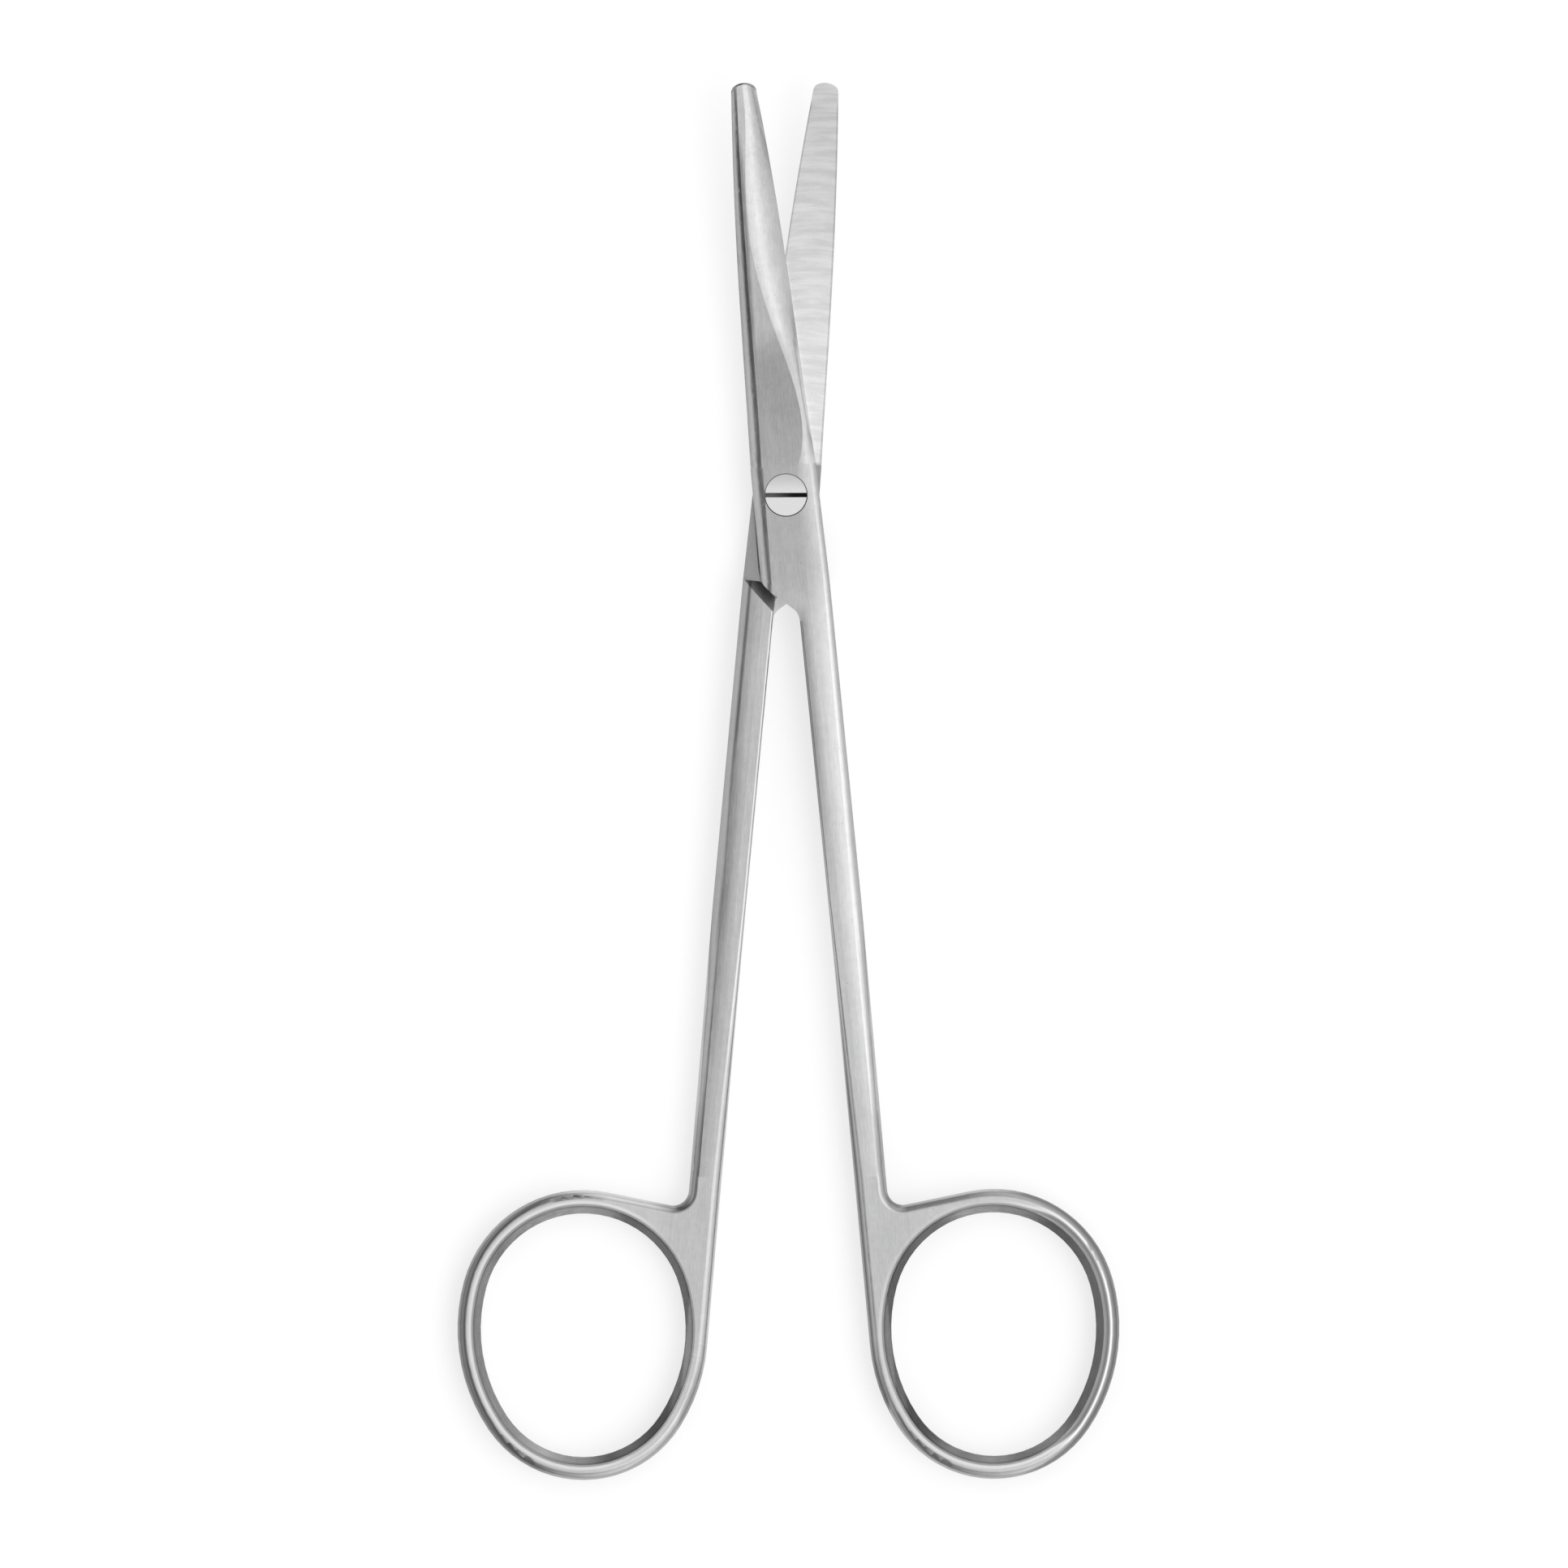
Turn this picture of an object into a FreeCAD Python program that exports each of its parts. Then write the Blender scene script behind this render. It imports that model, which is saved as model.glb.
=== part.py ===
import FreeCAD, Part
import math
import os

import Sketcher
from FreeCAD import Vector

# Dissecting scissors with curved blades, 145 mm long when closed, millimetres.
# Two mirror-handed halves cross in a lap joint and turn on a slotted shoulder screw.
# Origin on the screw axis at the underside of the joint, +Y toward the tips, +Z up the screw.
# Each half is drawn closed and lying on its inner face: x across, y toward the tip, z away
# from the other half. The upper half is lifted onto the parting plane and the lower half is
# turned over below it, and both are then opened about the screw.

doc = FreeCAD.newDocument("dissecting_scissors")
sheet = doc.addObject("Spreadsheet::Sheet", "dims")

DIMENSIONS = [
    # Joint
    ("open_half", 5.45, "angle of each half from closed, degrees"),
    ("half_plate", 2.0, "thickness of each joint plate"),
    ("seat_end", 3.0, "end of the flat joint seat toward the tips"),
    ("plate_back", 3.36, "back edge at the seat end"),
    ("plate_heel", 3.6, "back edge at the heel corner"),
    ("plate_cut", 3.36, "cutting side at the seat end"),
    ("heel", 8.85, "heel corner below the screw"),
    ("heel_inner", 12.2, "heel line where it meets the shank"),
    ("shoulder_drop", 0.2, "square end of the shoulder block below the heel corner"),
    ("shoulder_slant", 31.0, "slant of the shoulder wall from upright, degrees"),
    ("fit_gap", 0.16, "room between heel and shoulder when closed"),
    ("edge_round", 0.9, "rounding of the ring's outer edges"),
    ("shank_round", 0.95, "width of the soft rounding along the shank"),
    ("shank_drop", 0.55, "depth of that rounding at the side"),
    ("plate_round", 1.25, "width of the soft rounding along the back of the joint plate"),
    ("plate_drop", 0.5, "depth of that rounding at the side"),
    ("plate_lean", 0.2, "lean of the plate's back wall at the heel"),
    ("cut_round", 0.65, "width of the rounding along the other side of the plate"),
    ("cut_drop", 0.4, "depth of that rounding at the side"),
    ("crown_start", 1.3, "where the flat of plate and shank begins to fall outward"),
    ("crown_drop", 0.1, "fall of that crowned part"),
    ("crown_end", 0.03, "the same at the ring"),
    ("crotch_round", 1.2, "rounding where the heel meets the shank"),
    ("back_drop", 0.48, "depth of the blade back's rounding as a share of its width"),
    # Shank
    ("shank_start", 13.0, "lower end of the heel"),
    ("shank_mid", 42.0, "middle of the shank"),
    ("shank_end", 70.5, "lower end of the shank"),
    ("shank_inner", 0.15, "inner edge of the shank at the joint"),
    ("shank_inner_mid", 0.2, "inner edge of the shank halfway"),
    ("shank_inner_end", 0.12, "inner edge of the shank at the ring"),
    ("shank_outer", 3.6, "outer edge of the shank at the joint"),
    ("shank_outer_mid", 3.62, "outer edge of the shank halfway"),
    ("shank_outer_end", 3.36, "outer edge of the shank at the ring"),
    ("shank_deep_mid", 1.7, "half thickness of the shank halfway"),
    ("ring_deep", 1.5, "half thickness of the ring and the shank end"),
    ("inner_round", 0.25, "rounding of the inner shank edge"),
    ("inner_round_mid", 0.3, "rounding of the inner shank edge halfway"),
    # Finger ring, an oval of four arcs leaning away from the shank
    ("crook_round", 1.6, "hollow between shank and ring"),
    ("crook_rise", 13.5, "from the centre of the upper arcs up to the centre of that hollow"),
    ("ring_top_x", 13.0, "centre of the upper arcs"),
    ("ring_top_y", 85.6, "level of the centre of the upper arcs"),
    ("ring_low_x", 12.5, "centre of the lower arcs"),
    ("ring_drop", 5.3, "from there down to the centre of the lower arcs"),
    ("ring_top_in", 10.3, "upper arc of the hole"),
    ("ring_low_in", 9.4, "lower arc of the hole"),
    ("ring_side_in", 16.2, "side arcs of the hole"),
    ("ring_top_out", 12.7, "upper arc of the outline"),
    ("ring_low_out", 11.75, "lower arc of the outline"),
    ("ring_side_out", 18.5, "side arcs of the outline"),
    ("ring_touch", 0.02, "room between the rings when closed, each side"),
    ("ring_in_bevel", 0.8, "bevel of the hole edges"),
    # Blade
    ("bend_start", 8.0, "where the blades begin to curve up"),
    ("bend_radius", 110.0, "curve of the inner faces"),
    ("relief", 0.08, "hollow of each inner face behind the joint seat"),
    ("tip_x", -0.25, "centre of the rounded tip"),
    ("tip_y", 40.6, "level of the centre of the rounded tip"),
    ("tip_round", 1.82, "radius of the tip"),
    ("tip_edge", 0.2, "bevel of the tip's outer edges"),
    ("tip_clear", 12.0, "reach of the cut that rounds the tip"),
    ("tip_spare", 2.4, "blade beyond the centre of the tip, before it is rounded"),
    # Screw
    ("head_across", 4.25, "screw head"),
    ("head_seat", 4.45, "recess for the head"),
    ("head_deep", 0.95, "depth of that recess"),
    ("head_high", 0.9, "height of the head"),
    ("head_lift", 0.02, "running room under the head"),
    ("shoulder_across", 3.0, "running shoulder of the screw"),
    ("bore_across", 3.08, "bore of the upper half"),
    ("thread_across", 2.5, "threaded end and threaded bore"),
    ("slot_wide", 0.46, "screwdriver slot"),
    ("slot_deep", 0.5, "depth of the slot"),
]

DERIVED = [
    ("shoulder", "=heel + shoulder_drop", "square end of the shoulder block"),
    ("ring_low_y", "=ring_top_y + ring_drop", "level of the centre of the lower arcs"),
    ("crook_level", "=ring_top_y - crook_rise", "level of the centre of that hollow"),
    ("heel_grade", "=(heel_inner - heel) / (plate_heel + shank_inner)", "slope of the heel line"),
    ("start_deep", "=half_plate - (half_plate - shank_deep_mid) * (shank_start - shoulder)"
     " / (shank_mid - shoulder)", "half depth of the shank where the heel starts"),
    ("slant_run", "=half_plate * tan(shoulder_slant * 1deg)", "reach of the slanted wall"),
    ("slant_rise", "=slant_run * sqrt(1 + heel_grade * heel_grade)", "the same along the shank"),
    ("gap_rise", "=fit_gap * sqrt(1 + heel_grade * heel_grade)", "fit gap along the shank"),
]

# Ground sections of the blade from the seat end to beyond the tip: distance from the screw,
# back edge, cutting edge, thickness, rounding of the back, end of the flat top, and height of
# the cutting edge. The convex grind runs from the flat top down to the cutting edge.
BLADE = [
    (3.0, 3.36, 3.36, 1.92, 1.15, 1.60, 1.52),
    (12.0, 3.06, 2.88, 1.82, 1.12, 1.75, 1.05),
    (21.0, 2.77, 2.51, 1.66, 1.00, -0.45, 0.55),
    (31.0, 2.30, 1.94, 1.40, 0.80, -1.10, 0.28),
    ("tip_y + tip_spare", 1.44, 0.90, 1.05, 0.58, -0.50, 0.20),
]
COLUMNS = ["station", "back", "cut", "thick", "back_round", "flat_end", "edge"]

row = 1
for name, number, note in DIMENSIONS:
    sheet.set(f"A{row}", note)
    sheet.set(f"B{row}", str(number))
    sheet.setAlias(f"B{row}", name)
    row += 1
for name, formula, note in DERIVED:
    sheet.set(f"A{row}", note)
    sheet.set(f"B{row}", formula)
    sheet.setAlias(f"B{row}", name)
    row += 1
for index, section in enumerate(BLADE, start=1):
    far = f"(station_{index} - bend_start)"
    arc = f"bend_radius - sqrt(bend_radius * bend_radius - {far} * {far})"
    sheet.set(f"A{row}", f"blade section {index}")
    sheet.set(f"I{row}", f"=station_{index} > bend_start ? {arc} : 0")
    sheet.setAlias(f"I{row}", f"rise_{index}")
    for column, (title, number) in enumerate(zip(COLUMNS, section)):
        cell = f"{'BCDEFGH'[column]}{row}"
        sheet.set(cell, f"={number}" if isinstance(number, str) else str(number))
        sheet.setAlias(cell, f"{title}_{index}")
    row += 1
doc.recompute()


def size(name):
    return float(sheet.get(name))


def new_body(label):
    body = doc.addObject("PartDesign::Body", label)
    body.Label = label
    return body


def plane_of(body, role):
    return [f for f in body.Origin.OriginFeatures if f.Role == role][0]


def new_sketch(body, name, role="XY_Plane", offset=None):
    sketch = body.newObject("Sketcher::SketchObject", name)
    sketch.AttachmentSupport = [(plane_of(body, role), "")]
    sketch.MapMode = "FlatFace"
    if offset:
        sketch.setExpression("AttachmentOffset.Base.z", offset)
    return sketch


def evaluate(text):
    """The value of a formula written with the names of the sheet, for the first drawing."""
    doc_value = doc.getObject("dims").evalExpression(text.replace("dims.", ""))
    return float(getattr(doc_value, "Value", doc_value))


def fix_point(sketch, edge, end, across, along):
    for kind, formula in (("DistanceX", across), ("DistanceY", along)):
        number = sketch.addConstraint(Sketcher.Constraint(kind, -1, 1, edge, end, evaluate(formula)))
        sketch.setExpression(f"Constraints[{number}]", formula)


def fix_value(sketch, kind, edge, formula):
    number = sketch.addConstraint(Sketcher.Constraint(kind, edge, evaluate(formula)))
    sketch.setExpression(f"Constraints[{number}]", formula)


def arc_through(start, end, direction):
    """Arc from start to end that leaves start along direction."""
    chord = end - start
    normal = Vector(-direction.y, direction.x, 0)
    distance = chord.dot(chord) / (2 * chord.dot(normal))
    centre = start + normal * distance
    first = math.atan2(start.y - centre.y, start.x - centre.x)
    last = math.atan2(end.y - centre.y, end.x - centre.x)
    circle = Part.Circle(centre, Vector(0, 0, 1), abs(distance))
    if distance > 0:
        return Part.ArcOfCircle(circle, first, last if last > first else last + 2 * math.pi), False
    return Part.ArcOfCircle(circle, last, first if first > last else first + 2 * math.pi), True


def draw_profile(sketch, corners):
    """Closed profile. Each corner is (x, y, edge), where edge is the one that follows it:
    a line, an arc that leaves the edge before it smoothly, or one that meets the next one so."""
    points = [Vector(evaluate(x), evaluate(y), 0) for x, y, edge in corners]
    count = len(points)

    def heading(i, at_end):
        """Direction of travel at the start or the end of an edge."""
        run = (points[(i + 1) % count] - points[i % count]).normalize()
        edge = corners[i % count][2]
        if edge == "line":
            return run
        end_known = edge == "arc_before"
        known = heading(i + 1, False) if end_known else heading(i - 1, True)
        return known if at_end == end_known else run * (2 * run.dot(known)) - known

    turned = []
    for i in range(count):
        start, end = points[i], points[(i + 1) % count]
        if corners[i][2] == "line":
            sketch.addGeometry(Part.LineSegment(start, end), False)
            turned.append(False)
        else:
            arc, backward = arc_through(start, end, heading(i, False))
            sketch.addGeometry(arc, False)
            turned.append(backward)
    for i in range(count):
        after = (i + 1) % count
        last = 1 if turned[i] else 2
        first = 2 if turned[after] else 1
        smooth = corners[i][2] == "arc_before" or corners[after][2] == "arc_after"
        kind = "Tangent" if smooth else "Coincident"
        sketch.addConstraint(Sketcher.Constraint(kind, i, last, after, first))
    for i, (x, y, edge) in enumerate(corners):
        fix_point(sketch, i, 2 if turned[i] else 1, x, y)
    return sketch


def pad(body, name, sketch, length, both=False, down=False):
    feature = body.newObject("PartDesign::Pad", name)
    feature.Profile = sketch
    feature.Midplane = both
    feature.Reversed = down
    feature.setExpression("Length", length)
    sketch.Visibility = False
    doc.recompute()
    return feature


def pocket(body, name, sketch, length, both=False, up=False, taper=None):
    before = body.Shape.Volume
    feature = body.newObject("PartDesign::Pocket", name)
    feature.Profile = sketch
    feature.Midplane = both
    feature.Reversed = up
    feature.setExpression("Length", length)
    if taper:
        feature.setExpression("TaperAngle", taper)
    doc.recompute()
    if not body.Shape.Volume < before - 1e-4:
        raise RuntimeError(f"{name} removes nothing")
    return feature


def edges_where(shape, test):
    return [f"Edge{i}" for i, edge in enumerate(shape.Edges, start=1) if test(edge)]


def round_edges(body, name, amount, test, flat=False):
    base = body.Tip
    names = edges_where(base.Shape, test)
    if not names:
        raise RuntimeError(f"{name} finds no edge")
    feature = body.newObject("PartDesign::Chamfer" if flat else "PartDesign::Fillet", name)
    feature.Base = (base, names)
    feature.setExpression("Size" if flat else "Radius", amount)
    doc.recompute()
    return feature


def touching(first, second, radius, side):
    """Centre of the arc that wraps two circles, each given as (x, y, r), on one side."""
    a, b = Vector(first[0], first[1], 0), Vector(second[0], second[1], 0)
    ra, rb = radius - first[2], radius - second[2]
    span = (b - a).Length
    along = (ra * ra - rb * rb + span * span) / (2 * span)
    off = math.sqrt(ra * ra - along * along)
    unit = (b - a).normalize()
    return a + unit * along + Vector(-unit.y, unit.x, 0) * off * side


def outward(centre, through, radius):
    return centre + (through - centre).normalize() * radius


def angle_of(centre, point):
    return math.atan2(point.y - centre.y, point.x - centre.x)


def draw_arc(sketch, centre, radius, first, last):
    """Arc drawn anticlockwise from first to last."""
    start, stop = angle_of(centre, first), angle_of(centre, last)
    if stop < start:
        stop += 2 * math.pi
    circle = Part.Circle(centre, Vector(0, 0, 1), radius)
    return sketch.addGeometry(Part.ArcOfCircle(circle, start, stop), False)


def draw_ring_hole(sketch):
    top = Vector(size("ring_top_x"), -size("ring_top_y"), 0)
    low = Vector(size("ring_low_x"), -size("ring_low_y"), 0)
    rt, rl, rs = size("ring_top_in"), size("ring_low_in"), size("ring_side_in")
    circles = ((top.x, top.y, rt), (low.x, low.y, rl))
    right = touching(circles[0], circles[1], rs, -1)
    left = touching(circles[0], circles[1], rs, 1)
    if right.x > left.x:
        right, left = left, right
    ends = [outward(right, top, rs), outward(left, top, rs), outward(left, low, rs), outward(right, low, rs)]
    draw_arc(sketch, top, rt, ends[0], ends[1])
    draw_arc(sketch, left, rs, ends[1], ends[2])
    draw_arc(sketch, low, rl, ends[2], ends[3])
    draw_arc(sketch, right, rs, ends[3], ends[0])
    for i in range(4):
        sketch.addConstraint(Sketcher.Constraint("Tangent", i, 2, (i + 1) % 4, 1))
    fix_point(sketch, 0, 3, "dims.ring_top_x", "-dims.ring_top_y")
    fix_point(sketch, 2, 3, "dims.ring_low_x", "-dims.ring_low_y")
    fix_value(sketch, "Radius", 0, "dims.ring_top_in")
    fix_value(sketch, "Radius", 2, "dims.ring_low_in")
    fix_value(sketch, "Radius", 1, "dims.ring_side_in")
    fix_value(sketch, "Radius", 3, "dims.ring_side_in")


def draw_ring_outline(sketch):
    top = Vector(size("ring_top_x"), -size("ring_top_y"), 0)
    low = Vector(size("ring_low_x"), -size("ring_low_y"), 0)
    rt, rl, rs = size("ring_top_out"), size("ring_low_out"), size("ring_side_out")
    begin = Vector(size("shank_inner_end"), -size("shank_end"), 0)
    outer = Vector(size("shank_outer_end"), -size("shank_end"), 0)
    # Hollow between shank and ring, then the straight run onto the upper arc
    crook_r = size("crook_round")
    crook = Vector(outer.x + crook_r, -size("crook_level"), 0)
    gap = top - crook
    lean = math.atan2(gap.y, gap.x) - math.acos((crook_r + rt) / gap.Length)
    normal = Vector(math.cos(lean), math.sin(lean), 0)
    leave = crook + normal * crook_r
    arrive = top - normal * rt
    right = touching((top.x, top.y, rt), (low.x, low.y, rl), rs, 1)
    if right.x > top.x:
        right = touching((top.x, top.y, rt), (low.x, low.y, rl), rs, -1)
    turn_high = outward(right, top, rs)
    turn_low = outward(right, low, rs)
    # The inner side: an arc that just clears the other ring when closed
    left_x = size("ring_touch") + rs
    left = Vector(left_x, low.y + math.sqrt((rs - rl) ** 2 - (left_x - low.x) ** 2), 0)
    left_low = outward(left, low, rs)
    reach = begin - left
    swing = math.atan2(reach.y, reach.x) + math.acos(rs / reach.Length)
    left_high = left + Vector(math.cos(swing), math.sin(swing), 0) * rs
    down = Vector(outer.x, crook.y, 0)
    sketch.addGeometry(Part.LineSegment(begin, outer), False)
    sketch.addGeometry(Part.LineSegment(outer, down), False)
    draw_arc(sketch, crook, crook_r, down, leave)
    sketch.addGeometry(Part.LineSegment(leave, arrive), False)
    draw_arc(sketch, top, rt, turn_high, arrive)
    draw_arc(sketch, right, rs, turn_low, turn_high)
    draw_arc(sketch, low, rl, left_low, turn_low)
    draw_arc(sketch, left, rs, left_high, left_low)
    sketch.addGeometry(Part.LineSegment(left_high, begin), False)
    joints = [("Coincident", 0, 2, 1, 1), ("Tangent", 1, 2, 2, 1), ("Tangent", 2, 2, 3, 1)]
    joints += [("Tangent", 3, 2, 4, 2), ("Tangent", 4, 1, 5, 2), ("Tangent", 5, 1, 6, 2)]
    joints += [("Tangent", 6, 1, 7, 2), ("Tangent", 7, 1, 8, 1), ("Coincident", 8, 2, 0, 1)]
    for joint in joints:
        sketch.addConstraint(Sketcher.Constraint(*joint))
    sketch.addConstraint(Sketcher.Constraint("Vertical", 1))
    fix_point(sketch, 0, 1, "dims.shank_inner_end", "-dims.shank_end")
    fix_point(sketch, 0, 2, "dims.shank_outer_end", "-dims.shank_end")
    number = sketch.addConstraint(Sketcher.Constraint("DistanceY", -1, 1, 2, 3, crook.y))
    sketch.setExpression(f"Constraints[{number}]", "-dims.crook_level")
    fix_value(sketch, "Radius", 2, "dims.crook_round")
    fix_point(sketch, 4, 3, "dims.ring_top_x", "-dims.ring_top_y")
    fix_value(sketch, "Radius", 4, "dims.ring_top_out")
    fix_value(sketch, "Radius", 5, "dims.ring_side_out")
    fix_point(sketch, 6, 3, "dims.ring_low_x", "-dims.ring_low_y")
    fix_value(sketch, "Radius", 6, "dims.ring_low_out")
    fix_value(sketch, "Radius", 7, "dims.ring_side_out")
    number = sketch.addConstraint(Sketcher.Constraint("DistanceX", -1, 1, 7, 3, left.x))
    sketch.setExpression(f"Constraints[{number}]", "dims.ring_touch + dims.ring_side_out")


def shank_profile(inner, outer, deep, inner_round, outer_round, outer_drop, crown):
    """Shank section, both faces alike: crowned and softly rounded outside, tighter inside."""
    corners = [
        (inner, f"{deep} - {inner_round}", "arc_before"),
        (f"{inner} + {inner_round}", deep, "line"),
        ("dims.crown_start", deep, "arc_after"),
        (f"{outer} - {outer_round}", f"{deep} - {crown}", "arc_after"),
        (outer, f"{deep} - {outer_drop}", "line"),
    ]
    below = []
    for i in range(len(corners)):
        x, y, edge = corners[-1 - i]
        edge = ("arc_before", "arc_before", "line", "arc_after", "line")[i]
        below.append((x, f"-({y})", edge))
    return corners + below


def at(edge, *tests):
    """Whether both ends of an edge meet every test of (x, y, z)."""
    return all(test(v.X, v.Y, v.Z) for v in edge.Vertexes for test in tests)


def near(first, second):
    return abs(first - second) < 0.01


def make_half(label, curve):
    """One half. curve is 1 where the blade bends away from the other half, -1 where toward."""
    body = new_body(label)
    deep = size("ring_deep")

    # Finger ring with its rounded outline and hole
    sketch = new_sketch(body, label + "_ring_outline")
    draw_ring_outline(sketch)
    pad(body, label + "_ring", sketch, "2 * dims.ring_deep", both=True)
    top = -size("shank_end") - 0.01
    round_edges(
        body, label + "_ring_rounding", "dims.edge_round",
        lambda e: at(e, lambda x, y, z: near(abs(z), deep))
        and e.BoundBox.ZLength < 0.01 and e.BoundBox.YMin < top,
    )
    sketch = new_sketch(body, label + "_ring_hole")
    draw_ring_hole(sketch)
    pocket(body, label + "_ring_opening", sketch, "2 * dims.ring_deep", both=True)
    hole = [size("ring_top_in"), size("ring_low_in"), size("ring_side_in")]
    round_edges(
        body, label + "_hole_bevel", "dims.ring_in_bevel",
        lambda e: at(e, lambda x, y, z: near(abs(z), deep)) and e.BoundBox.ZLength < 0.01
        and isinstance(e.Curve, Part.Circle) and any(near(e.Curve.Radius, r) for r in hole),
        flat=True,
    )

    # Shank, tapering from the shoulder of the joint to the ring
    sections = []
    for name, level, *measures in (
        ("end", "dims.shank_end", "dims.shank_inner_end", "dims.shank_outer_end", "dims.ring_deep",
         "dims.edge_round", "dims.edge_round", "dims.edge_round", "dims.crown_end"),
        ("mid", "dims.shank_mid", "dims.shank_inner_mid", "dims.shank_outer_mid", "dims.shank_deep_mid",
         "dims.inner_round_mid", "dims.shank_round", "dims.shank_drop", "dims.crown_drop"),
        ("top", "dims.shoulder", "dims.shank_inner", "dims.shank_outer", "dims.half_plate",
         "dims.inner_round", "dims.cut_round", "dims.cut_drop", "dims.crown_drop"),
    ):
        sketch = new_sketch(body, f"{label}_shank_{name}", "XZ_Plane", level)
        draw_profile(sketch, shank_profile(*measures))
        sections.append(sketch)
    loft(body, label + "_shank", sections, straight=True)

    # Joint plate beside the screw, then its heel beside the shank
    for part, levels, backs, leans, sides, deeps in (
        ("plate", ("dims.shoulder", "-dims.seat_end"), ("dims.plate_heel", "dims.plate_back"),
         ("dims.plate_lean", "0"), ("dims.shank_outer", "dims.plate_cut"),
         ("dims.half_plate", "dims.half_plate")),
        ("heel", ("dims.shank_start", "dims.shoulder"), ("dims.plate_heel", "dims.plate_heel"),
         ("dims.plate_lean", "dims.plate_lean"), None, ("dims.start_deep", "dims.half_plate")),
    ):
        sections = []
        for i in (0, 1):
            sketch = new_sketch(body, f"{label}_{part}_{i + 1}", "XZ_Plane", levels[i])
            corners = [
                (f"-{backs[i]}", "0", "line"),
                (f"-{backs[i]} + {leans[i]}", f"{deeps[i]} - dims.plate_drop", "arc_before"),
                (f"-{backs[i]} + dims.plate_round", deeps[i], "line"),
            ]
            if sides:
                corners.append(("dims.crown_start", deeps[i], "arc_after"))
                corners.append((f"{sides[i]} - dims.cut_round", f"{deeps[i]} - dims.crown_drop", "arc_after"))
                corners.append((sides[i], f"{deeps[i]} - dims.cut_drop", "line"))
                corners.append((sides[i], "0", "line"))
            else:
                corners.append(("1", deeps[i], "line"))
                corners.append(("1", "0", "line"))
            draw_profile(sketch, corners)
            sections.append(sketch)
        loft(body, f"{label}_{part}", sections, straight=True)
    # The heel line is cut on a slant, to lie along the slanted shoulder of the other half
    sections = []
    for name, level, rise in (("floor", None, " + dims.slant_rise"), ("face", "dims.half_plate", "")):
        sketch = new_sketch(body, f"{label}_heel_{name}", "XY_Plane", level)
        draw_profile(sketch, [
            ("-dims.plate_heel - 3", "-dims.heel + 3 * dims.heel_grade" + rise, "line"),
            ("-dims.plate_heel - 3", "-dims.shank_start - 1", "line"),
            ("dims.shank_inner", "-dims.shank_start - 1", "line"),
            ("dims.shank_inner", "-dims.heel_inner" + rise, "line"),
        ])
        sections.append(sketch)
    loft(body, label + "_heel_slant", sections, cut=True)
    round_edges(
        body, label + "_crotch_rounding", "dims.crotch_round",
        lambda e: at(e, lambda x, y, z: near(x, size("shank_inner"))) and e.BoundBox.YLength > 0.5
        and e.BoundBox.ZMin > -0.01 and e.BoundBox.ZLength > size("half_plate") / 2
        and e.BoundBox.YMin > -size("heel_inner") - 0.2,
    )
    # The shoulder at the top of the shank is cut on the matching slant
    sketch = new_sketch(body, label + "_shoulder_line")
    line = "-dims.heel - dims.gap_rise + dims.slant_rise"
    draw_profile(sketch, [
        ("-1", f"{line} - (dims.plate_heel + 1) * dims.heel_grade", "line"),
        ("6", f"{line} - (dims.plate_heel - 6) * dims.heel_grade", "line"),
        ("6", "1", "line"),
        ("-1", "1", "line"),
    ])
    pocket(body, label + "_shoulder_slant", sketch, "dims.half_plate", taper="dims.shoulder_slant")

    # Ground blade, curved across its width
    sections = []
    for i in range(1, len(BLADE) + 1):
        sketch = new_sketch(body, f"{label}_blade_{i}", "XZ_Plane", f"-dims.station_{i}")
        floor = f"dims.relief + {curve} * dims.rise_{i}"
        draw_profile(sketch, [
            (f"-dims.back_{i}", floor, "line"),
            (f"-dims.back_{i}", f"{floor} + dims.thick_{i} - dims.back_drop * dims.back_round_{i}",
             "arc_before"),
            (f"-dims.back_{i} + dims.back_round_{i}", f"{floor} + dims.thick_{i}", "line"),
            (f"dims.flat_end_{i}", f"{floor} + dims.thick_{i}", "arc_after"),
            (f"dims.cut_{i}", f"{floor} + dims.edge_{i}", "line"),
            (f"dims.cut_{i}", floor, "line"),
        ])
        sections.append(sketch)
    loft(body, label + "_blade", sections)
    sketch = new_sketch(body, label + "_tip_outline")
    draw_tip(sketch)
    pocket(body, label + "_tip", sketch, "2 * dims.tip_clear", both=True)
    round_edges(
        body, label + "_tip_bevel", "dims.tip_edge",
        lambda e: e.BoundBox.YMin > size("tip_y") + size("tip_round") / 2
        and e.BoundBox.XLength < size("tip_round"),
        flat=True,
    )
    return body


def loft(body, name, sections, cut=False, straight=False):
    feature = body.newObject("PartDesign::SubtractiveLoft" if cut else "PartDesign::AdditiveLoft", name)
    feature.Profile = sections[0]
    feature.Sections = sections[1:]
    feature.Ruled = straight
    doc.recompute()
    return feature


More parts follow.
